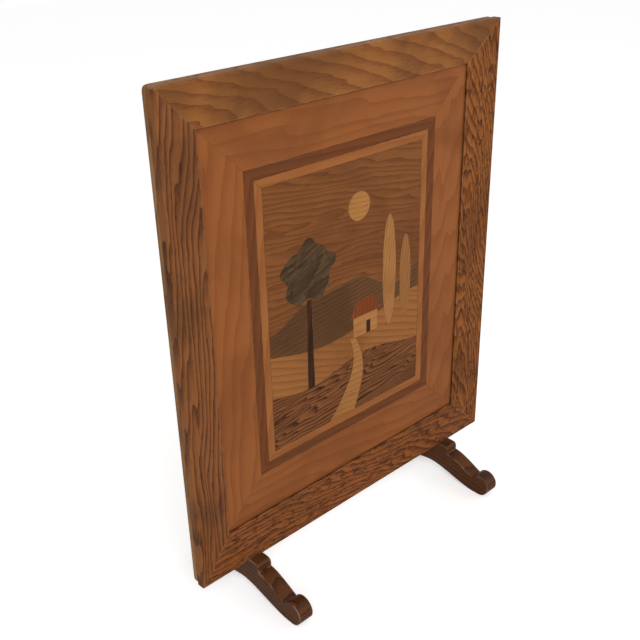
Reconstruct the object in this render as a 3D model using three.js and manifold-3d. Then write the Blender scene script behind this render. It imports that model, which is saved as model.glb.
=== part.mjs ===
// Oak-framed marquetry fire screen on two sledge feet.
// Millimetres. Z up, X across the screen, -Y is the picture side.
// Origin on the floor, under the middle of the screen.
import * as THREE from "three";
import { mergeVertices } from "three/addons/utils/BufferGeometryUtils.js";
import Module from "manifold-3d";

// Screen: a backing board, four mitred mouldings in front of it
const frame_width = 600;
const frame_height = 692;
const board_thickness = 9.5;
const board_edge_round = 3;
const board_corner_round = 8;
const moulding_width = 58;
const moulding_outer_depth = 14.5;
const moulding_inner_depth = 3.7;
const moulding_front_round = 3;
const moulding_back_round = 1.5;
const frame_lift = 54; // floor to the lower edge of the frame

// Veneers, counted inwards from the mouldings
const veneer_thickness = 0.7;
const border_width = 65;
const dark_band_width = 15.5;
const light_band_width = 12;
const glue_line = 0.3;
const mitre_gap = 0.3;

// Sledge feet
const foot_thickness = 24;
const foot_inset = 80; // frame's outer edge to the foot's outer face
const notch_clearance = 0.3;
const lip_height = 5;
const lip_depth = 15;
const nose_reach = 6;
const nose_drop = 8;
const ledge_height = 46.3;
const scroll_radius = 17.5;
const scroll_reach = 103; // middle of the screen to the scroll's centre
const scroll_start = 0.46; // angle of the crease behind the scroll, radians
const pad_end = 90;
const arch_rise = 18;

// Screws
const screw_radius = 2;
const screw_head_radius = 4;
const screw_head_depth = 2.4;
const screw_tip = 3;
const screw_slot_width = 1;
const screw_slot_depth = 0.9;
const hole_clearance = 0.3;
const rail_screw_length = 18;
const rail_screw_margin = 16; // frame's outer edge to the screw
const rail_screw_spread_x = 300;
const rail_screw_spread_z = 400;
const foot_screw_length = 42;
const foot_screw_recess = 10;

const frame_depth = board_thickness + moulding_outer_depth;
const front_face = -frame_depth / 2;
const board_back = frame_depth / 2;
const board_face = board_back - board_thickness;
const frame_middle = frame_lift + frame_height / 2;
const picture_margin = moulding_width + border_width + dark_band_width + light_band_width;
const picture_width = frame_width - 2 * picture_margin;
const picture_height = frame_height - 2 * picture_margin;

const wasm = await Module();
wasm.setup();
const screen = new THREE.Group();
screen.name = "fire_screen";

// Finishes
const finish = (colour, roughness, metalness = 0) => () =>
  new THREE.MeshStandardMaterial({ color: colour, roughness, metalness });
const oak = finish(0x7a4f2a, 0.5);
const plywood = finish(0x8a6238, 0.6);
const border_veneer = finish(0x9a5c30, 0.45);
const dark_veneer = finish(0x6d3c22, 0.45);
const light_veneer = finish(0xa8703a, 0.45);
const stained_oak = finish(0x4a2c18, 0.4);
const steel = finish(0x6b6a66, 0.4, 0.9);

function add(name, geometry, material) {
  const mesh = new THREE.Mesh(geometry, material());
  mesh.name = name;
  screen.add(mesh);
  return mesh;
}

// Solids for cutting and joining
function solid_of(geometry) {
  const bare = geometry.clone();
  bare.deleteAttribute("normal");
  bare.deleteAttribute("uv");
  const merged = mergeVertices(bare, 1e-4);
  return new wasm.Manifold(
    new wasm.Mesh({
      numProp: 3,
      vertProperties: merged.attributes.position.array,
      triVerts: new Uint32Array(merged.index.array),
    }),
  );
}

function geometry_of(solid) {
  const mesh = solid.getMesh();
  const geometry = new THREE.BufferGeometry();
  geometry.setAttribute("position", new THREE.BufferAttribute(mesh.vertProperties, 3));
  geometry.setIndex(new THREE.BufferAttribute(mesh.triVerts, 1));
  return geometry;
}

function cut(geometry, cutters) {
  return geometry_of(cutters.reduce((body, cutter) => body.subtract(solid_of(cutter)), solid_of(geometry)));
}

// A flat shape drawn in x and z, standing out from the plane y = back towards the viewer
function upright(shape, back, thickness, curve_steps = 12) {
  const geometry = new THREE.ExtrudeGeometry(shape, {
    depth: thickness,
    bevelEnabled: false,
    curveSegments: curve_steps,
  });
  geometry.rotateX(Math.PI / 2);
  geometry.translate(0, back, 0);
  return geometry;
}

// A mitred strip: a section (w inwards from the outer edge, d forwards from the board)
// run along a side of the frame, each point's run shortened by its own w
function mitred_strip(section, side_length, side_offset, quarter_turns) {
  const strip = new THREE.ExtrudeGeometry(section, { depth: 1, bevelEnabled: false, curveSegments: 4 });
  const place = strip.attributes.position;
  for (let i = 0; i < place.count; i += 1) {
    const w = place.getX(i);
    const d = place.getY(i);
    const run = side_length - 2 * w - mitre_gap * Math.SQRT2;
    const along = (place.getZ(i) - 0.5) * run;
    place.setXYZ(i, along, -d, w - side_offset);
  }
  strip.rotateY((quarter_turns * Math.PI) / 2);
  strip.translate(0, board_face, frame_middle);
  return strip;
}

const sides = [
  { side: "bottom", turns: 0, length: frame_width, offset: frame_height / 2 },
  { side: "left", turns: 1, length: frame_height, offset: frame_width / 2 },
  { side: "top", turns: 2, length: frame_width, offset: frame_height / 2 },
  { side: "right", turns: 3, length: frame_height, offset: frame_width / 2 },
];

// Screws: countersunk, slotted, drawn point down with the head's face at the origin
function screw(length) {
  const lathe = new THREE.LatheGeometry(
    [
      new THREE.Vector2(0, -length),
      new THREE.Vector2(screw_radius, -length + screw_tip),
      new THREE.Vector2(screw_radius, -screw_head_depth),
      new THREE.Vector2(screw_head_radius, 0),
      new THREE.Vector2(0, 0),
    ],
    16,
  );
  const slot = new THREE.BoxGeometry(4 * screw_head_radius, 2 * screw_slot_depth, screw_slot_width);
  return cut(lathe, [slot]);
}

function screw_hole(length, recess) {
  const wide = screw_head_radius + hole_clearance;
  const narrow = screw_radius + hole_clearance;
  return new THREE.LatheGeometry(
    [
      new THREE.Vector2(0, -length - hole_clearance),
      new THREE.Vector2(narrow, -length - hole_clearance),
      new THREE.Vector2(narrow, -screw_head_depth - hole_clearance),
      new THREE.Vector2(wide, -hole_clearance),
      new THREE.Vector2(wide, recess),
      new THREE.Vector2(0, recess),
    ],
    16,
  );
}

// Places of the screws that hold each moulding, driven from the back of the board
function rail_screw_places(side) {
  const across = frame_width / 2 - rail_screw_margin;
  const up = frame_height / 2 - rail_screw_margin;
  return [-1, 1].map((end) => {
    if (side === "bottom") return [(end * rail_screw_spread_x) / 2, frame_middle - up];
    if (side === "top") return [(end * rail_screw_spread_x) / 2, frame_middle + up];
    const x = side === "left" ? -across : across;
    return [x, frame_middle + (end * rail_screw_spread_z) / 2];
  });
}

function from_behind(geometry, [x, z]) {
  return geometry.translate(x, board_back, z);
}

// Places of the screws that come up through the feet into the bottom moulding
const foot_middle = frame_width / 2 - foot_inset - foot_thickness / 2;
const foot_screw_y = (front_face + board_face) / 2;
const foot_screw_head = arch_rise + foot_screw_recess;

function from_below(geometry, x) {
  return geometry.rotateX(-Math.PI / 2).translate(x, foot_screw_y, foot_screw_head);
}

const foot_hole_recess = foot_screw_recess + arch_rise;
const foot_holes = () => [-1, 1].map((end) =>
  from_below(screw_hole(foot_screw_length, foot_hole_recess), end * foot_middle));
const rail_holes = (side) => rail_screw_places(side).map((place) =>
  from_behind(screw_hole(rail_screw_length, 1), place));

// Mouldings: deep at the outer edge, sloping back to a thin inner edge
function moulding_section() {
  const section = new THREE.Shape();
  section.moveTo(moulding_width, 0);
  section.lineTo(moulding_width, moulding_inner_depth);
  section.lineTo(moulding_front_round, moulding_outer_depth);
  section.quadraticCurveTo(0, moulding_outer_depth, 0, moulding_outer_depth - moulding_front_round);
  section.lineTo(0, moulding_back_round);
  section.quadraticCurveTo(0, 0, moulding_back_round, 0);
  section.closePath();
  return section;
}

for (const { side, turns, length, offset } of sides) {
  const strip = mitred_strip(moulding_section(), length, offset, turns);
  const holes = side === "bottom" ? [...rail_holes(side), ...foot_holes()] : rail_holes(side);
  add(side + "_moulding", cut(strip, holes), oak);
}

// Backing board with rounded corners and edges
function rounded_rectangle(width, height, corner) {
  const shape = new THREE.Shape();
  const x = width / 2;
  const z = height / 2;
  shape.moveTo(-x + corner, -z);
  shape.lineTo(x - corner, -z);
  shape.quadraticCurveTo(x, -z, x, -z + corner);
  shape.lineTo(x, z - corner);
  shape.quadraticCurveTo(x, z, x - corner, z);
  shape.lineTo(-x + corner, z);
  shape.quadraticCurveTo(-x, z, -x, z - corner);
  shape.lineTo(-x, -z + corner);
  shape.quadraticCurveTo(-x, -z, -x + corner, -z);
  return shape;
}

function backing_board() {
  const board = new THREE.ExtrudeGeometry(rounded_rectangle(frame_width, frame_height, board_corner_round), {
    depth: board_thickness - 2 * board_edge_round,
    bevelThickness: board_edge_round,
    bevelSize: board_edge_round,
    bevelOffset: -board_edge_round,
    bevelSegments: 3,
    curveSegments: 5,
  });
  board.rotateX(Math.PI / 2);
  board.translate(0, board_back - board_edge_round, frame_middle);
  return board;
}

add("backing_board", cut(backing_board(), sides.flatMap(({ side }) => rail_holes(side))), plywood);

// Veneered border and its two inlaid bands, each of four mitred strips
function veneer_section(outer, inner) {
  const section = new THREE.Shape();
  section.moveTo(inner - glue_line, 0);
  section.lineTo(inner - glue_line, veneer_thickness);
  section.lineTo(outer, veneer_thickness);
  section.lineTo(outer, 0);
  section.closePath();
  return section;
}

const bands = [
  { name: "border_veneer", width: border_width, material: border_veneer },
  { name: "dark_band", width: dark_band_width, material: dark_veneer },
  { name: "light_band", width: light_band_width, material: light_veneer },
];
let band_start = moulding_width + glue_line;
for (const { name, width, material } of bands) {
  const section = veneer_section(band_start, band_start + width);
  for (const { side, turns, length, offset } of sides) {
    add(side + "_" + name, mitred_strip(section, length, offset, turns), material);
  }
  band_start += width;
}

// Picture: veneers fitted like a jigsaw, drawn from the picture's middle.
// Each outline takes a margin by which it is grown to cut its neighbours.
const half_w = (picture_width - 3 * glue_line) / 2;
const half_h = (picture_height - 3 * glue_line) / 2;
const far = Math.max(picture_width, picture_height);

function below_line(height_at, grow) {
  const shape = new THREE.Shape();
  shape.moveTo(-far, -far);
  shape.lineTo(far, -far);
  const steps = 40;
  for (let i = 0; i <= steps; i += 1) {
    const u = half_w * 1.05 * (1 - (2 * i) / steps);
    shape.lineTo(u, height_at(u) + grow);
  }
  shape.lineTo(-far, height_at(-half_w) + grow);
  return shape;
}

function round_form(x, z, radius_at, grow, steps = 48) {
  const points = Array.from({ length: steps }, (_, i) => {
    const angle = (2 * Math.PI * i) / steps;
    const [rx, rz] = radius_at(angle);
    return new THREE.Vector2(x + (rx + grow) * Math.cos(angle), z + (rz + grow) * Math.sin(angle));
  });
  return new THREE.Shape(points);
}

function tapered(x, low, high, low_width, high_width, grow) {
  const l = low_width / 2 + grow;
  const h = high_width / 2 + grow;
  return new THREE.Shape([
    new THREE.Vector2(x - l, low - grow),
    new THREE.Vector2(x + l, low - grow),
    new THREE.Vector2(x + h, high + grow),
    new THREE.Vector2(x - h, high + grow),
  ]);
}

const ground_line = (u) => -112 + 9 * Math.sin(u / 38 + 0.6);
const near_hill_line = (u) => -48 + 16 * Math.sin(u / 62 - 0.9);
const far_hill_line = (u) => 8 + 15 * Math.cos(u / 40 + 0.5) + 6 * Math.sin(u / 19);
const path_middle = (z) => 30 * Math.sin((z + 190) / 48) - 12;
const path_half_width = (z) => 5 + 20 * Math.pow(Math.max(0, -60 - z) / 135, 1.6);

function path_form(grow) {
  const steps = 18;
  const low = -half_h - 5;
  const high = -72;
  const edge = (sign) => Array.from({ length: steps + 1 }, (_, i) => {
    const z = low + ((high - low) * i) / steps;
    return new THREE.Vector2(path_middle(z) + sign * (path_half_width(z) + grow), z + (i === steps ? grow : 0));
  });
  return new THREE.Shape([...edge(1), ...edge(-1).reverse()]);
}

const crown_radius = (angle) => {
  const r = 46 + 5 * Math.sin(5 * angle + 0.4) + 2.5 * Math.sin(9 * angle);
  return [r, r * 0.95];
};
const cottage_x = 34;
const cottage_base = -74;
const motifs = [
  { name: "tree_trunk", colour: 0x2e1a10, form: (g) => tapered(-76, -122, 18, 13, 8, g) },
  { name: "tree_crown", colour: 0x3d3020, form: (g) => round_form(-76, 58, crown_radius, g, 72) },
  { name: "poplar_tall", colour: 0xb98a4e, form: (g) => round_form(84, 12, () => [14, 88], g) },
  { name: "poplar_short", colour: 0xa8793f, form: (g) => round_form(119, -8, () => [12, 68], g) },
  { name: "cottage_door", colour: 0x3a2113, form: (g) => tapered(cottage_x + 6, cottage_base, -54, 8, 8, g) },
  { name: "cottage_wall", colour: 0xc19a5f, form: (g) => tapered(cottage_x, cottage_base, -42, 50, 50, g) },
  { name: "cottage_roof", colour: 0x8d4526, form: (g) => tapered(cottage_x, -41.6, -16, 62, 34, g) },
  { name: "garden_path", colour: 0xb5834a, form: (g) => path_form(g) },
  { name: "dark_ground", colour: 0x4f2f1b, form: (g) => below_line(ground_line, g) },
  { name: "near_hill", colour: 0x9b6c38, form: (g) => below_line(near_hill_line, g) },
  { name: "far_hill", colour: 0x70502f, form: (g) => below_line(far_hill_line, g) },
  { name: "sun_disc", colour: 0xc79a5a, form: (g) => round_form(22, 128, () => [21, 21], g) },
  { name: "sky", colour: 0x86592f, form: () => below_line(() => far, 0) },
];

function picture_slab(shape, back, thickness) {
  return solid_of(upright(shape, back, thickness).translate(0, 0, frame_middle));
}

const window_shape = new THREE.Shape([
  new THREE.Vector2(-half_w, -half_h),
  new THREE.Vector2(half_w, -half_h),
  new THREE.Vector2(half_w, half_h),
  new THREE.Vector2(-half_w, half_h),
]);
const picture_window = picture_slab(window_shape, board_face, veneer_thickness);
let laid = null;
for (const { name, colour, form } of motifs) {
  const sheet = picture_slab(form(0), board_face + 1, veneer_thickness + 2);
  const fitted = laid ? picture_window.intersect(sheet).subtract(laid) : picture_window.intersect(sheet);
  const pieces = fitted.decompose();
  pieces.sort((a, b) => a.boundingBox().min[0] - b.boundingBox().min[0]);
  pieces.forEach((piece, i) => {
    const label = pieces.length > 1 ? name + "_" + (i + 1) : name;
    add(label, geometry_of(piece), finish(colour, 0.5));
  });
  const grown = picture_slab(form(glue_line), board_face + 1, veneer_thickness + 2);
  laid = laid ? laid.add(grown) : grown;
}

// Sledge feet: a notched block for the frame, an S-shaped leg and a scroll at each end
function foot_half() {
  const notch = frame_depth / 2 + notch_clearance;
  const lip = notch + lip_depth;
  const nose = lip + nose_reach;
  const crease_y = scroll_reach - scroll_radius * Math.cos(scroll_start);
  const crease_z = scroll_radius * (1 + Math.sin(scroll_start));
  const half = new THREE.Path();
  half.moveTo(notch, frame_lift);
  half.lineTo(notch, frame_lift + lip_height);
  half.lineTo(lip, frame_lift + lip_height);
  half.quadraticCurveTo(nose, frame_lift + lip_height, nose, frame_lift + lip_height - nose_drop);
  half.lineTo(nose, ledge_height);
  half.bezierCurveTo(nose + 18, ledge_height - 1.8, nose + 32, ledge_height - 10.3, crease_y, crease_z);
  half.absarc(scroll_reach, scroll_radius, scroll_radius, Math.PI - scroll_start, -Math.PI / 2, true);
  half.lineTo(pad_end, 0);
  half.bezierCurveTo(pad_end - 30, 3, 25, arch_rise, 0, arch_rise);
  return half.getPoints(14);
}

function foot_geometry() {
  const rear = foot_half();
  const front = rear.slice(0, -1).reverse().map((p) => new THREE.Vector2(-p.x, p.y));
  const foot = new THREE.ExtrudeGeometry(new THREE.Shape([...rear, ...front]), {
    depth: foot_thickness,
    bevelEnabled: false,
  });
  foot.translate(0, 0, -foot_thickness / 2);
  foot.rotateX(Math.PI / 2);
  foot.rotateZ(Math.PI / 2);
  return foot;
}

for (const [side, sign] of [["left", -1], ["right", 1]]) {
  const foot = foot_geometry();
  foot.translate(sign * foot_middle, 0, 0);
  add(side + "_foot", cut(foot, [from_below(screw_hole(foot_screw_length, foot_hole_recess), sign * foot_middle)]),
    stained_oak);
  add(side + "_foot_screw", from_below(screw(foot_screw_length), sign * foot_middle), steel);
}

for (const { side } of sides) {
  rail_screw_places(side).forEach((place, i) => {
    add(side + "_rail_screw_" + (i + 1), from_behind(screw(rail_screw_length), place), steel);
  });
}

export default screen;
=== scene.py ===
"""Oak-framed marquetry fire screen: finishes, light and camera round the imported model.

Metres, Z up, X across the screen, -Y the picture side. Colours are linear.
"""

import math

import bpy
from mathutils import Matrix, Vector

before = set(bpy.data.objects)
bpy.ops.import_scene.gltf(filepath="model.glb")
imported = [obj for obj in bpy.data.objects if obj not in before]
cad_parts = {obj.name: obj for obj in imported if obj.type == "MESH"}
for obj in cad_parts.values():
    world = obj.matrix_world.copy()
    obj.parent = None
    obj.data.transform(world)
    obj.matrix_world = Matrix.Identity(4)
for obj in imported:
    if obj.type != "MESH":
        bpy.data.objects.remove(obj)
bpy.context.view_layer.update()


# Helpers for node graphs
def link(tree, source, target):
    """Joins an output to an input."""
    tree.links.new(source, target)


def node(tree, kind, **values):
    """A shader node, with its properties and inputs set by name."""
    made = tree.nodes.new(kind)
    for name, value in values.items():
        if hasattr(made, name):
            setattr(made, name, value)
        else:
            made.inputs[name].default_value = value
    return made


def maths(tree, operation, a, b=None):
    """A Math node fed by sockets or numbers; gives its output."""
    made = node(tree, "ShaderNodeMath", operation=operation)
    for slot, value in enumerate((a, b)):
        if value is None:
            continue
        if isinstance(value, (int, float)):
            made.inputs[slot].default_value = value
        else:
            link(tree, value, made.inputs[slot])
    return made.outputs[0]


def mix_colour(tree, factor, a, b):
    """A colour mix; a and b are sockets or colours."""
    made = node(tree, "ShaderNodeMix", data_type="RGBA")
    factor_slot, a_slot, b_slot, colour_slot = 0, 6, 7, 2
    for slot, value in ((factor_slot, factor), (a_slot, a), (b_slot, b)):
        if isinstance(value, tuple):
            made.inputs[slot].default_value = (*value, 1.0)
        else:
            link(tree, value, made.inputs[slot])
    return made.outputs[colour_slot]


def steps(tree, factor, low, high):
    """A smooth step from 0 at low to 1 at high, which may be the smaller."""
    made = node(tree, "ShaderNodeMapRange", interpolation_type="SMOOTHSTEP")
    made.inputs["From Min"].default_value = low
    made.inputs["From Max"].default_value = high
    link(tree, factor, made.inputs["Value"])
    return made.outputs["Result"]


def noise(tree, where, scale, detail=4.0, distortion=0.0):
    """Soft noise from 0 to 1 at a place."""
    made = node(tree, "ShaderNodeTexNoise", Scale=scale, Detail=detail, Distortion=distortion)
    link(tree, where, made.inputs["Vector"])
    return made.outputs["Fac"]


def stretched(tree, place, by):
    """A place multiplied direction by direction, so that noise read there runs long or short."""
    made = node(tree, "ShaderNodeVectorMath", operation="MULTIPLY")
    link(tree, place, made.inputs[0])
    made.inputs[1].default_value = by
    return made.outputs[0]


def group(name, numbers, masks):
    """A shader node group that takes a Place and named numbers, and gives named masks."""
    tree = bpy.data.node_groups.new(name, "ShaderNodeTree")
    tree.interface.new_socket("Place", in_out="INPUT", socket_type="NodeSocketVector")
    for label, default in numbers:
        made = tree.interface.new_socket(label, in_out="INPUT", socket_type="NodeSocketFloat")
        made.default_value = default
    for label in masks:
        tree.interface.new_socket(label, in_out="OUTPUT", socket_type="NodeSocketFloat")
    return tree, tree.nodes.new("NodeGroupInput").outputs, tree.nodes.new("NodeGroupOutput").inputs


# Effects that every wooden piece shares
def wood_figure():
    """The figure of a sawn face, with x along the grain and y across it.

    Grain: rings are the fractional part of a warped distance from the tree's heart, which bows
    along x, times the rings per metre; fine fibres are added.
    Pore: short dashes along the grain, strongest in the late wood.
    Cloud and Fleck: broad soft stains, and small short ones.
    """
    wander_stretch = (1.6, 9.0, 9.0)
    fibre_stretch = (22.0, 620.0, 620.0)
    pore_stretch = (75.0, 950.0, 950.0)
    fleck_stretch = (60.0, 230.0, 230.0)
    bow_power, bow_height, bow_share = 1.7, 0.28, 0.35
    late_wood_power = 1.6
    ring_share, fibre_share = 0.65, 0.35
    pore_low, pore_high, early_wood_pores = 0.57, 0.66, 0.25
    tree, given, made = group(
        "wood_figure",
        [("Rings", 90.0), ("Wander", 0.02), ("Pores", 1.0), ("Heart", 0.1)],
        ["Grain", "Pore", "Cloud", "Fleck"],
    )
    place = given["Place"]
    wander = stretched(tree, place, wander_stretch)
    wander = noise(tree, wander, scale=2.6, detail=3.0, distortion=0.4)
    parts = node(tree, "ShaderNodeSeparateXYZ")
    link(tree, place, parts.inputs[0])

    bow = maths(tree, "POWER", maths(tree, "ABSOLUTE", parts.outputs[0]), bow_power)
    bow = maths(tree, "MULTIPLY", bow, bow_height)
    across = maths(tree, "ADD", parts.outputs[1], given["Heart"])
    distance = maths(tree, "ADD", maths(tree, "MULTIPLY", across, across),
                     maths(tree, "MULTIPLY", bow, bow_share))
    distance = maths(tree, "SQRT", distance)
    distance = maths(tree, "ADD", distance, maths(tree, "MULTIPLY", wander, given["Wander"]))
    ring = maths(tree, "FRACT", maths(tree, "MULTIPLY", distance, given["Rings"]))
    ring = maths(tree, "POWER", ring, late_wood_power)

    fibre = noise(tree, stretched(tree, place, fibre_stretch), scale=1.0, detail=3.0)
    grain = maths(tree, "ADD", maths(tree, "MULTIPLY", ring, ring_share),
                  maths(tree, "MULTIPLY", fibre, fibre_share))
    link(tree, grain, made["Grain"])

    dash = noise(tree, stretched(tree, place, pore_stretch), scale=1.0, detail=2.0)
    dash = steps(tree, dash, pore_low, pore_high)
    pore = maths(tree, "MULTIPLY", dash, maths(tree, "ADD", ring, early_wood_pores))
    link(tree, maths(tree, "MULTIPLY", pore, given["Pores"]), made["Pore"])
    cloud = noise(tree, place, scale=7.0, detail=5.0, distortion=0.6)
    link(tree, cloud, made["Cloud"])
    fleck = stretched(tree, place, fleck_stretch)
    fleck = noise(tree, fleck, scale=1.0, detail=4.0, distortion=1.2)
    link(tree, fleck, made["Fleck"])
    return tree


def wear_and_corner_shade():
    """Worn: patches where the surface turns within Reach of an edge.
    The second mask is painted shade: darkening where near surfaces shut the place in."""
    edge_flat, edge_sharp = 0.995, 0.86
    patch_low, patch_high = 0.38, 0.62
    shade_distance, open_air, shut_in = 0.014, 0.85, 0.35
    samples = 6
    tree, given, made = group("wear_and_corner_shade", [("Reach", 0.004)], ["Worn", "Painted_shade"])
    bevel = node(tree, "ShaderNodeBevel", samples=samples)
    link(tree, given["Reach"], bevel.inputs["Radius"])
    geometry = node(tree, "ShaderNodeNewGeometry")
    turn = node(tree, "ShaderNodeVectorMath", operation="DOT_PRODUCT")
    link(tree, bevel.outputs[0], turn.inputs[0])
    link(tree, geometry.outputs["Normal"], turn.inputs[1])
    edge = steps(tree, turn.outputs["Value"], edge_flat, edge_sharp)
    patches = noise(tree, given["Place"], scale=60.0, detail=4.0)
    patchy = steps(tree, patches, patch_low, patch_high)
    link(tree, maths(tree, "MULTIPLY", edge, patchy), made["Worn"])
    # Painted shade: ambient occlusion picks out corners and recesses, where shade falls.
    shut = node(tree, "ShaderNodeAmbientOcclusion", samples=samples, Distance=shade_distance)
    link(tree, steps(tree, shut.outputs["AO"], open_air, shut_in), made["Painted_shade"])
    return tree


WOOD = wood_figure()
WEAR_AND_SHADE = wear_and_corner_shade()
QUARTER = math.radians(90)
GRAIN_TURNS = {"x": (0.0, 0.0, 0.0), "y": (0.0, 0.0, QUARTER), "z": (0.0, QUARTER, 0.0)}


# Finishes
def place_along(tree, grain, shift, tilt):
    """Object coordinates, turned and shifted, with x along the grain and y across it in the face.
    The tilt is in degrees."""
    coordinates = node(tree, "ShaderNodeTexCoord")
    turned = node(tree, "ShaderNodeMapping", vector_type="POINT")
    turn = list(GRAIN_TURNS[grain])
    turn[1] += math.radians(tilt)
    turned.inputs["Rotation"].default_value = turn
    turned.inputs["Location"].default_value = shift
    link(tree, coordinates.outputs["Object"], turned.inputs["Vector"])
    parts = node(tree, "ShaderNodeSeparateXYZ")
    link(tree, turned.outputs[0], parts.inputs[0])
    face = node(tree, "ShaderNodeCombineXYZ")
    for slot, part in enumerate("XZY"):
        link(tree, parts.outputs[part], face.inputs[slot])
    return face.outputs[0]


def wooden(name, early, late, stain, grain="x", shift=(0, 0, 0), rings=90.0, wander=0.02,
           pores=1.0, heart=0.1, cloud=0.5, fleck=0.0, rough=0.5, tilt=0.0,
           worn=(0.45, 0.24, 0.1), reach=0.003, relief=0.25, coat=0.02):
    """Varnished wood: early to late wood by the grain, then stain clouds and flecks, pores,
    painted shade in the corners and worn edges. Pores are rougher and lie deeper."""
    pore_tone, painted_shade_tone = 0.35, (0.02, 0.009, 0.004)
    pore_cover, painted_shade_cover, worn_cover = 0.8, 0.75, 0.6
    rough_by_cloud, rough_by_pore = 0.2, 0.2
    coat_roughness, old_polish_shine = 0.3, 0.06
    relief_depth, ridge_height = 0.0006, 0.35
    material = bpy.data.materials.new(name)
    material.use_nodes = True
    tree = material.node_tree
    tree.nodes.clear()
    place = place_along(tree, grain, shift, tilt)
    figure = node(tree, "ShaderNodeGroup", node_tree=WOOD)
    link(tree, place, figure.inputs["Place"])
    for label, value in (("Rings", rings), ("Wander", wander), ("Pores", pores), ("Heart", heart)):
        figure.inputs[label].default_value = value
    wear_and_shade = node(tree, "ShaderNodeGroup", node_tree=WEAR_AND_SHADE)
    link(tree, place, wear_and_shade.inputs["Place"])
    wear_and_shade.inputs["Reach"].default_value = reach

    dark = tuple(pore_tone * part for part in late)
    clouds = steps(tree, figure.outputs["Cloud"], low=0.42, high=0.68)
    flecks = steps(tree, figure.outputs["Fleck"], low=0.5, high=0.64)
    lateness = steps(tree, figure.outputs["Grain"], low=0.15, high=0.85)
    colour = mix_colour(tree, lateness, early, late)
    # Stain, pores and worn edges are the wood's own colour; the occlusion mask paints dark shade into
    # corners.
    for mask, cover, tone in ((clouds, cloud, stain), (flecks, fleck, stain),
                              (figure.outputs["Pore"], pore_cover, dark),
                              (wear_and_shade.outputs["Painted_shade"], painted_shade_cover, painted_shade_tone),
                              (wear_and_shade.outputs["Worn"], worn_cover, worn)):
        colour = mix_colour(tree, maths(tree, "MULTIPLY", mask, cover), colour, tone)

    shader = node(tree, "ShaderNodeBsdfPrincipled")
    link(tree, colour, shader.inputs["Base Color"])
    roughness = maths(tree, "MULTIPLY", figure.outputs["Cloud"], rough_by_cloud)
    roughness = maths(tree, "ADD", roughness, rough - rough_by_cloud / 2)
    pore_roughness = maths(tree, "MULTIPLY", figure.outputs["Pore"], rough_by_pore)
    link(tree, maths(tree, "ADD", roughness, pore_roughness), shader.inputs["Roughness"])
    shader.inputs["Coat Weight"].default_value = coat
    shader.inputs["Coat Roughness"].default_value = coat_roughness
    shader.inputs["Specular IOR Level"].default_value = old_polish_shine
    bump = node(tree, "ShaderNodeBump", Strength=relief, Distance=relief_depth)
    ridges = maths(tree, "MULTIPLY", figure.outputs["Grain"], ridge_height)
    link(tree, maths(tree, "SUBTRACT", ridges, figure.outputs["Pore"]), bump.inputs["Height"])
    link(tree, bump.outputs[0], shader.inputs["Normal"])
    output = node(tree, "ShaderNodeOutputMaterial")
    link(tree, shader.outputs[0], output.inputs["Surface"])
    return material


def aged_steel():
    """Dull steel, turning to rough brown rust in small spots."""
    bare, rusty = (0.3, 0.29, 0.27), (0.12, 0.045, 0.018)
    bare_metallic, metallic_lost = 0.9, 0.8
    bare_rough, rough_gained = 0.38, 0.4
    material = bpy.data.materials.new("aged_steel")
    material.use_nodes = True
    tree = material.node_tree
    shader = tree.nodes["Principled BSDF"]
    coordinates = node(tree, "ShaderNodeTexCoord")
    spots = noise(tree, coordinates.outputs["Object"], scale=420.0, detail=5.0)
    rust = steps(tree, spots, low=0.48, high=0.62)
    link(tree, mix_colour(tree, rust, bare, rusty), shader.inputs["Base Color"])
    metallic = maths(tree, "SUBTRACT", bare_metallic, maths(tree, "MULTIPLY", rust, metallic_lost))
    link(tree, metallic, shader.inputs["Metallic"])
    roughness = maths(tree, "ADD", bare_rough, maths(tree, "MULTIPLY", rust, rough_gained))
    link(tree, roughness, shader.inputs["Roughness"])
    return material


def dress(name, material):
    """Puts a finish into every material slot of a CAD node."""
    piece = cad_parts[name]
    if not piece.data.materials:
        piece.data.materials.append(material)
    for slot in piece.material_slots:
        slot.material = material


# Oak mouldings, each from its own board
OAK = {
    "left": dict(
        early=(0.255, 0.09, 0.026), late=(0.1, 0.032, 0.011), stain=(0.04, 0.018, 0.009),
        grain="z", shift=(0.05, 0, 0.29), rings=120.0, heart=0.02, wander=0.045, cloud=0.4),
    "right": dict(
        early=(0.31, 0.105, 0.026), late=(0.13, 0.038, 0.01), stain=(0.035, 0.014, 0.007),
        grain="z", shift=(0.6, 0, -0.15), rings=170.0, heart=0.18, wander=0.05, cloud=0.35, fleck=0.7),
    "bottom": dict(
        early=(0.28, 0.09, 0.024), late=(0.12, 0.034, 0.01), stain=(0.06, 0.025, 0.011),
        grain="x", shift=(0.3, 0, 0.0), rings=150.0, heart=0.14, wander=0.05, cloud=0.25, fleck=0.8),
    "top": dict(
        early=(0.31, 0.118, 0.03), late=(0.21, 0.07, 0.018), stain=(0.11, 0.042, 0.015),
        grain="x", shift=(0.9, 0, -0.7), heart=0.2, wander=0.03, pores=0.6, cloud=0.6),
}

# Veneers: smooth, and worn only at their very edge
VENEER = dict(relief=0.06, coat=0.03, reach=0.0006)
BORDER = dict(
    early=(0.3, 0.098, 0.026), late=(0.245, 0.076, 0.02), stain=(0.18, 0.052, 0.014),
    rings=55.0, wander=0.05, pores=0.12, cloud=0.55, rough=0.4, **VENEER)
DARK_BAND = dict(
    early=(0.165, 0.05, 0.014), late=(0.125, 0.036, 0.01), stain=(0.11, 0.042, 0.016),
    pores=0.3, **VENEER)
LIGHT_BAND = dict(
    early=(0.34, 0.122, 0.034), late=(0.28, 0.095, 0.026), stain=(0.23, 0.074, 0.02),
    rings=60.0, pores=0.15, **VENEER)


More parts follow.
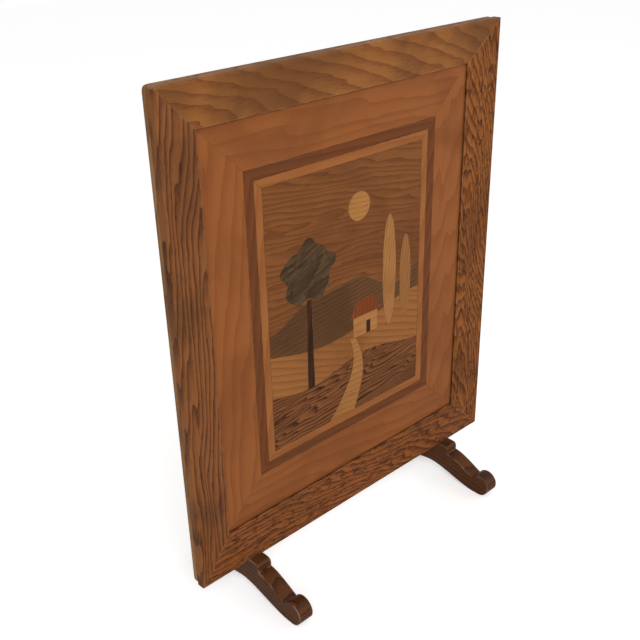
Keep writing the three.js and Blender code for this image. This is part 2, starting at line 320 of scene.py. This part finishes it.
def dress_frame():
    """The moulding and the border's strips of each side, their grain along that side."""
    next_side = (0.37, 0.11, 0.23)
    for order, (side, board) in enumerate(OAK.items()):
        apart = tuple(part * order for part in next_side)
        dress(side + "_moulding", wooden("oak_" + side, **board))
        for strip, label, wood in (("border_veneer", "border", BORDER),
                                   ("dark_band", "dark_band", DARK_BAND),
                                   ("light_band", "light_band", LIGHT_BAND)):
            finish = wooden(label + "_" + side, grain=board["grain"], shift=apart, **wood)
            dress(side + "_" + strip, finish)


# The marquetry landscape: each veneer its own wood, seen through the aged varnish
VARNISH = (0.92, 0.68, 0.5)


def picture_veneer(early, late, stain, **figure):
    """A picture veneer's finish: its three tones multiplied by the varnish."""
    tones = {"early": early, "late": late, "stain": stain}
    seen = {label: tuple(part * tint for part, tint in zip(tone, VARNISH))
            for label, tone in tones.items()}
    return {"pores": 0.5, **VENEER, **seen, **figure}


PICTURE = {
    "sky": picture_veneer(
        (0.25, 0.118, 0.045), (0.165, 0.074, 0.028), (0.12, 0.052, 0.02),
        rings=110.0, heart=0.3, wander=0.06, tilt=-7),
    "sun_disc": picture_veneer((0.5, 0.3, 0.12), (0.4, 0.22, 0.08), (0.34, 0.18, 0.06), rings=140.0),
    "far_hill": picture_veneer(
        (0.15, 0.088, 0.042), (0.1, 0.054, 0.026), (0.07, 0.038, 0.018), rings=160.0, tilt=12),
    "near_hill": picture_veneer(
        (0.36, 0.19, 0.072), (0.27, 0.13, 0.046), (0.2, 0.09, 0.032), rings=100.0, tilt=-14),
    "dark_ground": picture_veneer(
        (0.25, 0.12, 0.05), (0.045, 0.018, 0.009), (0.035, 0.014, 0.007),
        rings=190.0, heart=0.2, wander=0.07, pores=1.0, cloud=0.35, tilt=9),
    "garden_path": picture_veneer(
        (0.42, 0.25, 0.1), (0.33, 0.18, 0.066), (0.28, 0.14, 0.05), rings=120.0),
    "tree_trunk": picture_veneer(
        (0.06, 0.028, 0.013), (0.03, 0.014, 0.007), (0.02, 0.01, 0.005), grain="z"),
    "tree_crown": picture_veneer(
        (0.115, 0.085, 0.05), (0.055, 0.04, 0.024), (0.04, 0.03, 0.018),
        rings=60.0, fleck=0.9, cloud=0.7, wander=0.1, tilt=30),
    "poplar_tall": picture_veneer(
        (0.43, 0.26, 0.11), (0.34, 0.19, 0.072), (0.28, 0.14, 0.05), grain="z", rings=200.0),
    "poplar_short": picture_veneer(
        (0.35, 0.2, 0.08), (0.27, 0.14, 0.05), (0.2, 0.1, 0.035), grain="z", rings=200.0),
    "cottage_wall": picture_veneer((0.48, 0.29, 0.125), (0.4, 0.23, 0.09), (0.33, 0.17, 0.06)),
    "cottage_roof": picture_veneer(
        (0.27, 0.085, 0.03), (0.19, 0.055, 0.02), (0.13, 0.04, 0.015), grain="z", rings=150.0),
    "cottage_door": picture_veneer(
        (0.06, 0.028, 0.013), (0.04, 0.018, 0.009), (0.03, 0.012, 0.006), grain="z"),
}


def dress_picture():
    """Each picture veneer; pieces of one motif are numbered and share its wood."""
    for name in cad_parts:
        motif = name.rstrip("0123456789").rstrip("_")
        if motif in PICTURE:
            apart = (0.13 * len(name), 0.0, 0.07 * len(name))
            dress(name, wooden("veneer_" + name, shift=apart, **PICTURE[motif]))


# Board, feet and screws
def dress_back_and_feet():
    """Plain plywood behind, dark stained feet with pale worn edges, and rusting screws."""
    dress("backing_board", wooden(
        "birch_ply", early=(0.3, 0.16, 0.065), late=(0.2, 0.095, 0.036), stain=(0.09, 0.04, 0.017),
        grain="z", rings=45.0, heart=0.3, wander=0.09, pores=0.4, rough=0.55, coat=0.0))
    for order, side in enumerate(("left", "right")):
        dress(side + "_foot", wooden(
            "stained_oak_" + side, early=(0.115, 0.04, 0.013), late=(0.052, 0.017, 0.006),
            stain=(0.03, 0.012, 0.006), grain="y", shift=(0.3 * order, 0, 0.2), rings=140.0,
            pores=0.8, rough=0.4, worn=(0.42, 0.27, 0.16), reach=0.004, relief=0.3, coat=0.08))
    steel = aged_steel()
    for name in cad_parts:
        if "screw" in name:
            dress(name, steel)


# Floor, surround, lamps and camera
WHITE = (1.0, 1.0, 1.0, 1.0)


def white_floor():
    """A pale floor, lifted so that the camera sees white where no shadow falls."""
    pale = (0.93, 0.93, 0.93, 1.0)
    lift_to_white = 0.43
    bpy.ops.mesh.primitive_plane_add(size=12.0)
    floor = bpy.context.object
    floor.name = "floor"
    material = bpy.data.materials.new("pale_floor")
    material.use_nodes = True
    tree = material.node_tree
    shader = tree.nodes["Principled BSDF"]
    shader.inputs["Base Color"].default_value = pale
    shader.inputs["Roughness"].default_value = 0.9
    shader.inputs["Emission Color"].default_value = WHITE
    rays = node(tree, "ShaderNodeLightPath")
    lift = maths(tree, "MULTIPLY", rays.outputs["Is Camera Ray"], lift_to_white)
    link(tree, lift, shader.inputs["Emission Strength"])
    floor.data.materials.append(material)


def white_surround():
    """The world lights softly, and is white to the camera and in reflections."""
    soft_light = 0.55
    world = bpy.data.worlds.new("studio")
    bpy.context.scene.world = world
    world.use_nodes = True
    tree = world.node_tree
    background = tree.nodes["Background"]
    rays = node(tree, "ShaderNodeLightPath")
    seen = maths(tree, "MAXIMUM", rays.outputs["Is Camera Ray"], rays.outputs["Is Glossy Ray"])
    strength = maths(tree, "ADD", maths(tree, "MULTIPLY", seen, 1.0 - soft_light), soft_light)
    link(tree, strength, background.inputs["Strength"])
    background.inputs["Color"].default_value = WHITE


def softbox(name, place, size, watts):
    """A square lamp, aimed at about the middle of the screen."""
    screen_middle = Vector((0.0, 0.0, 0.4))
    lamp = bpy.data.lights.new(name, "AREA")
    lamp.shape = "SQUARE"
    lamp.size = size
    lamp.energy = watts
    made = bpy.data.objects.new(name, lamp)
    bpy.context.collection.objects.link(made)
    made.location = place
    made.rotation_euler = (screen_middle - made.location).to_track_quat("-Z", "Y").to_euler()


def photograph_camera():
    """The camera, as solved from the outline of the screen in the photograph."""
    focal_pixels = 920.6
    frame_pixels = 640.0
    place = (-0.8328, -0.8456, 0.9595)
    right = Vector((0.72988274, -0.68322581, -0.02176433))
    down = Vector((-0.32182062, -0.31535911, -0.89273743))
    ahead = Vector((0.60307767, 0.65859785, -0.45005132))
    camera = bpy.data.cameras.new("camera")
    camera.sensor_width = 36.0
    camera.lens = focal_pixels / frame_pixels * camera.sensor_width
    made = bpy.data.objects.new("camera", camera)
    bpy.context.collection.objects.link(made)
    turn = Matrix((right, -down, -ahead)).transposed().to_4x4()
    made.matrix_world = Matrix.Translation(place) @ turn
    bpy.context.scene.camera = made


dress_frame()
dress_picture()
dress_back_and_feet()
white_floor()
white_surround()
softbox("window_light", place=(-1.6, -2.2, 2.3), size=1.6, watts=42.0)
softbox("fill_light", place=(2.2, -1.6, 1.4), size=2.0, watts=14.0)
photograph_camera()
bpy.context.scene.view_settings.view_transform = "Standard"
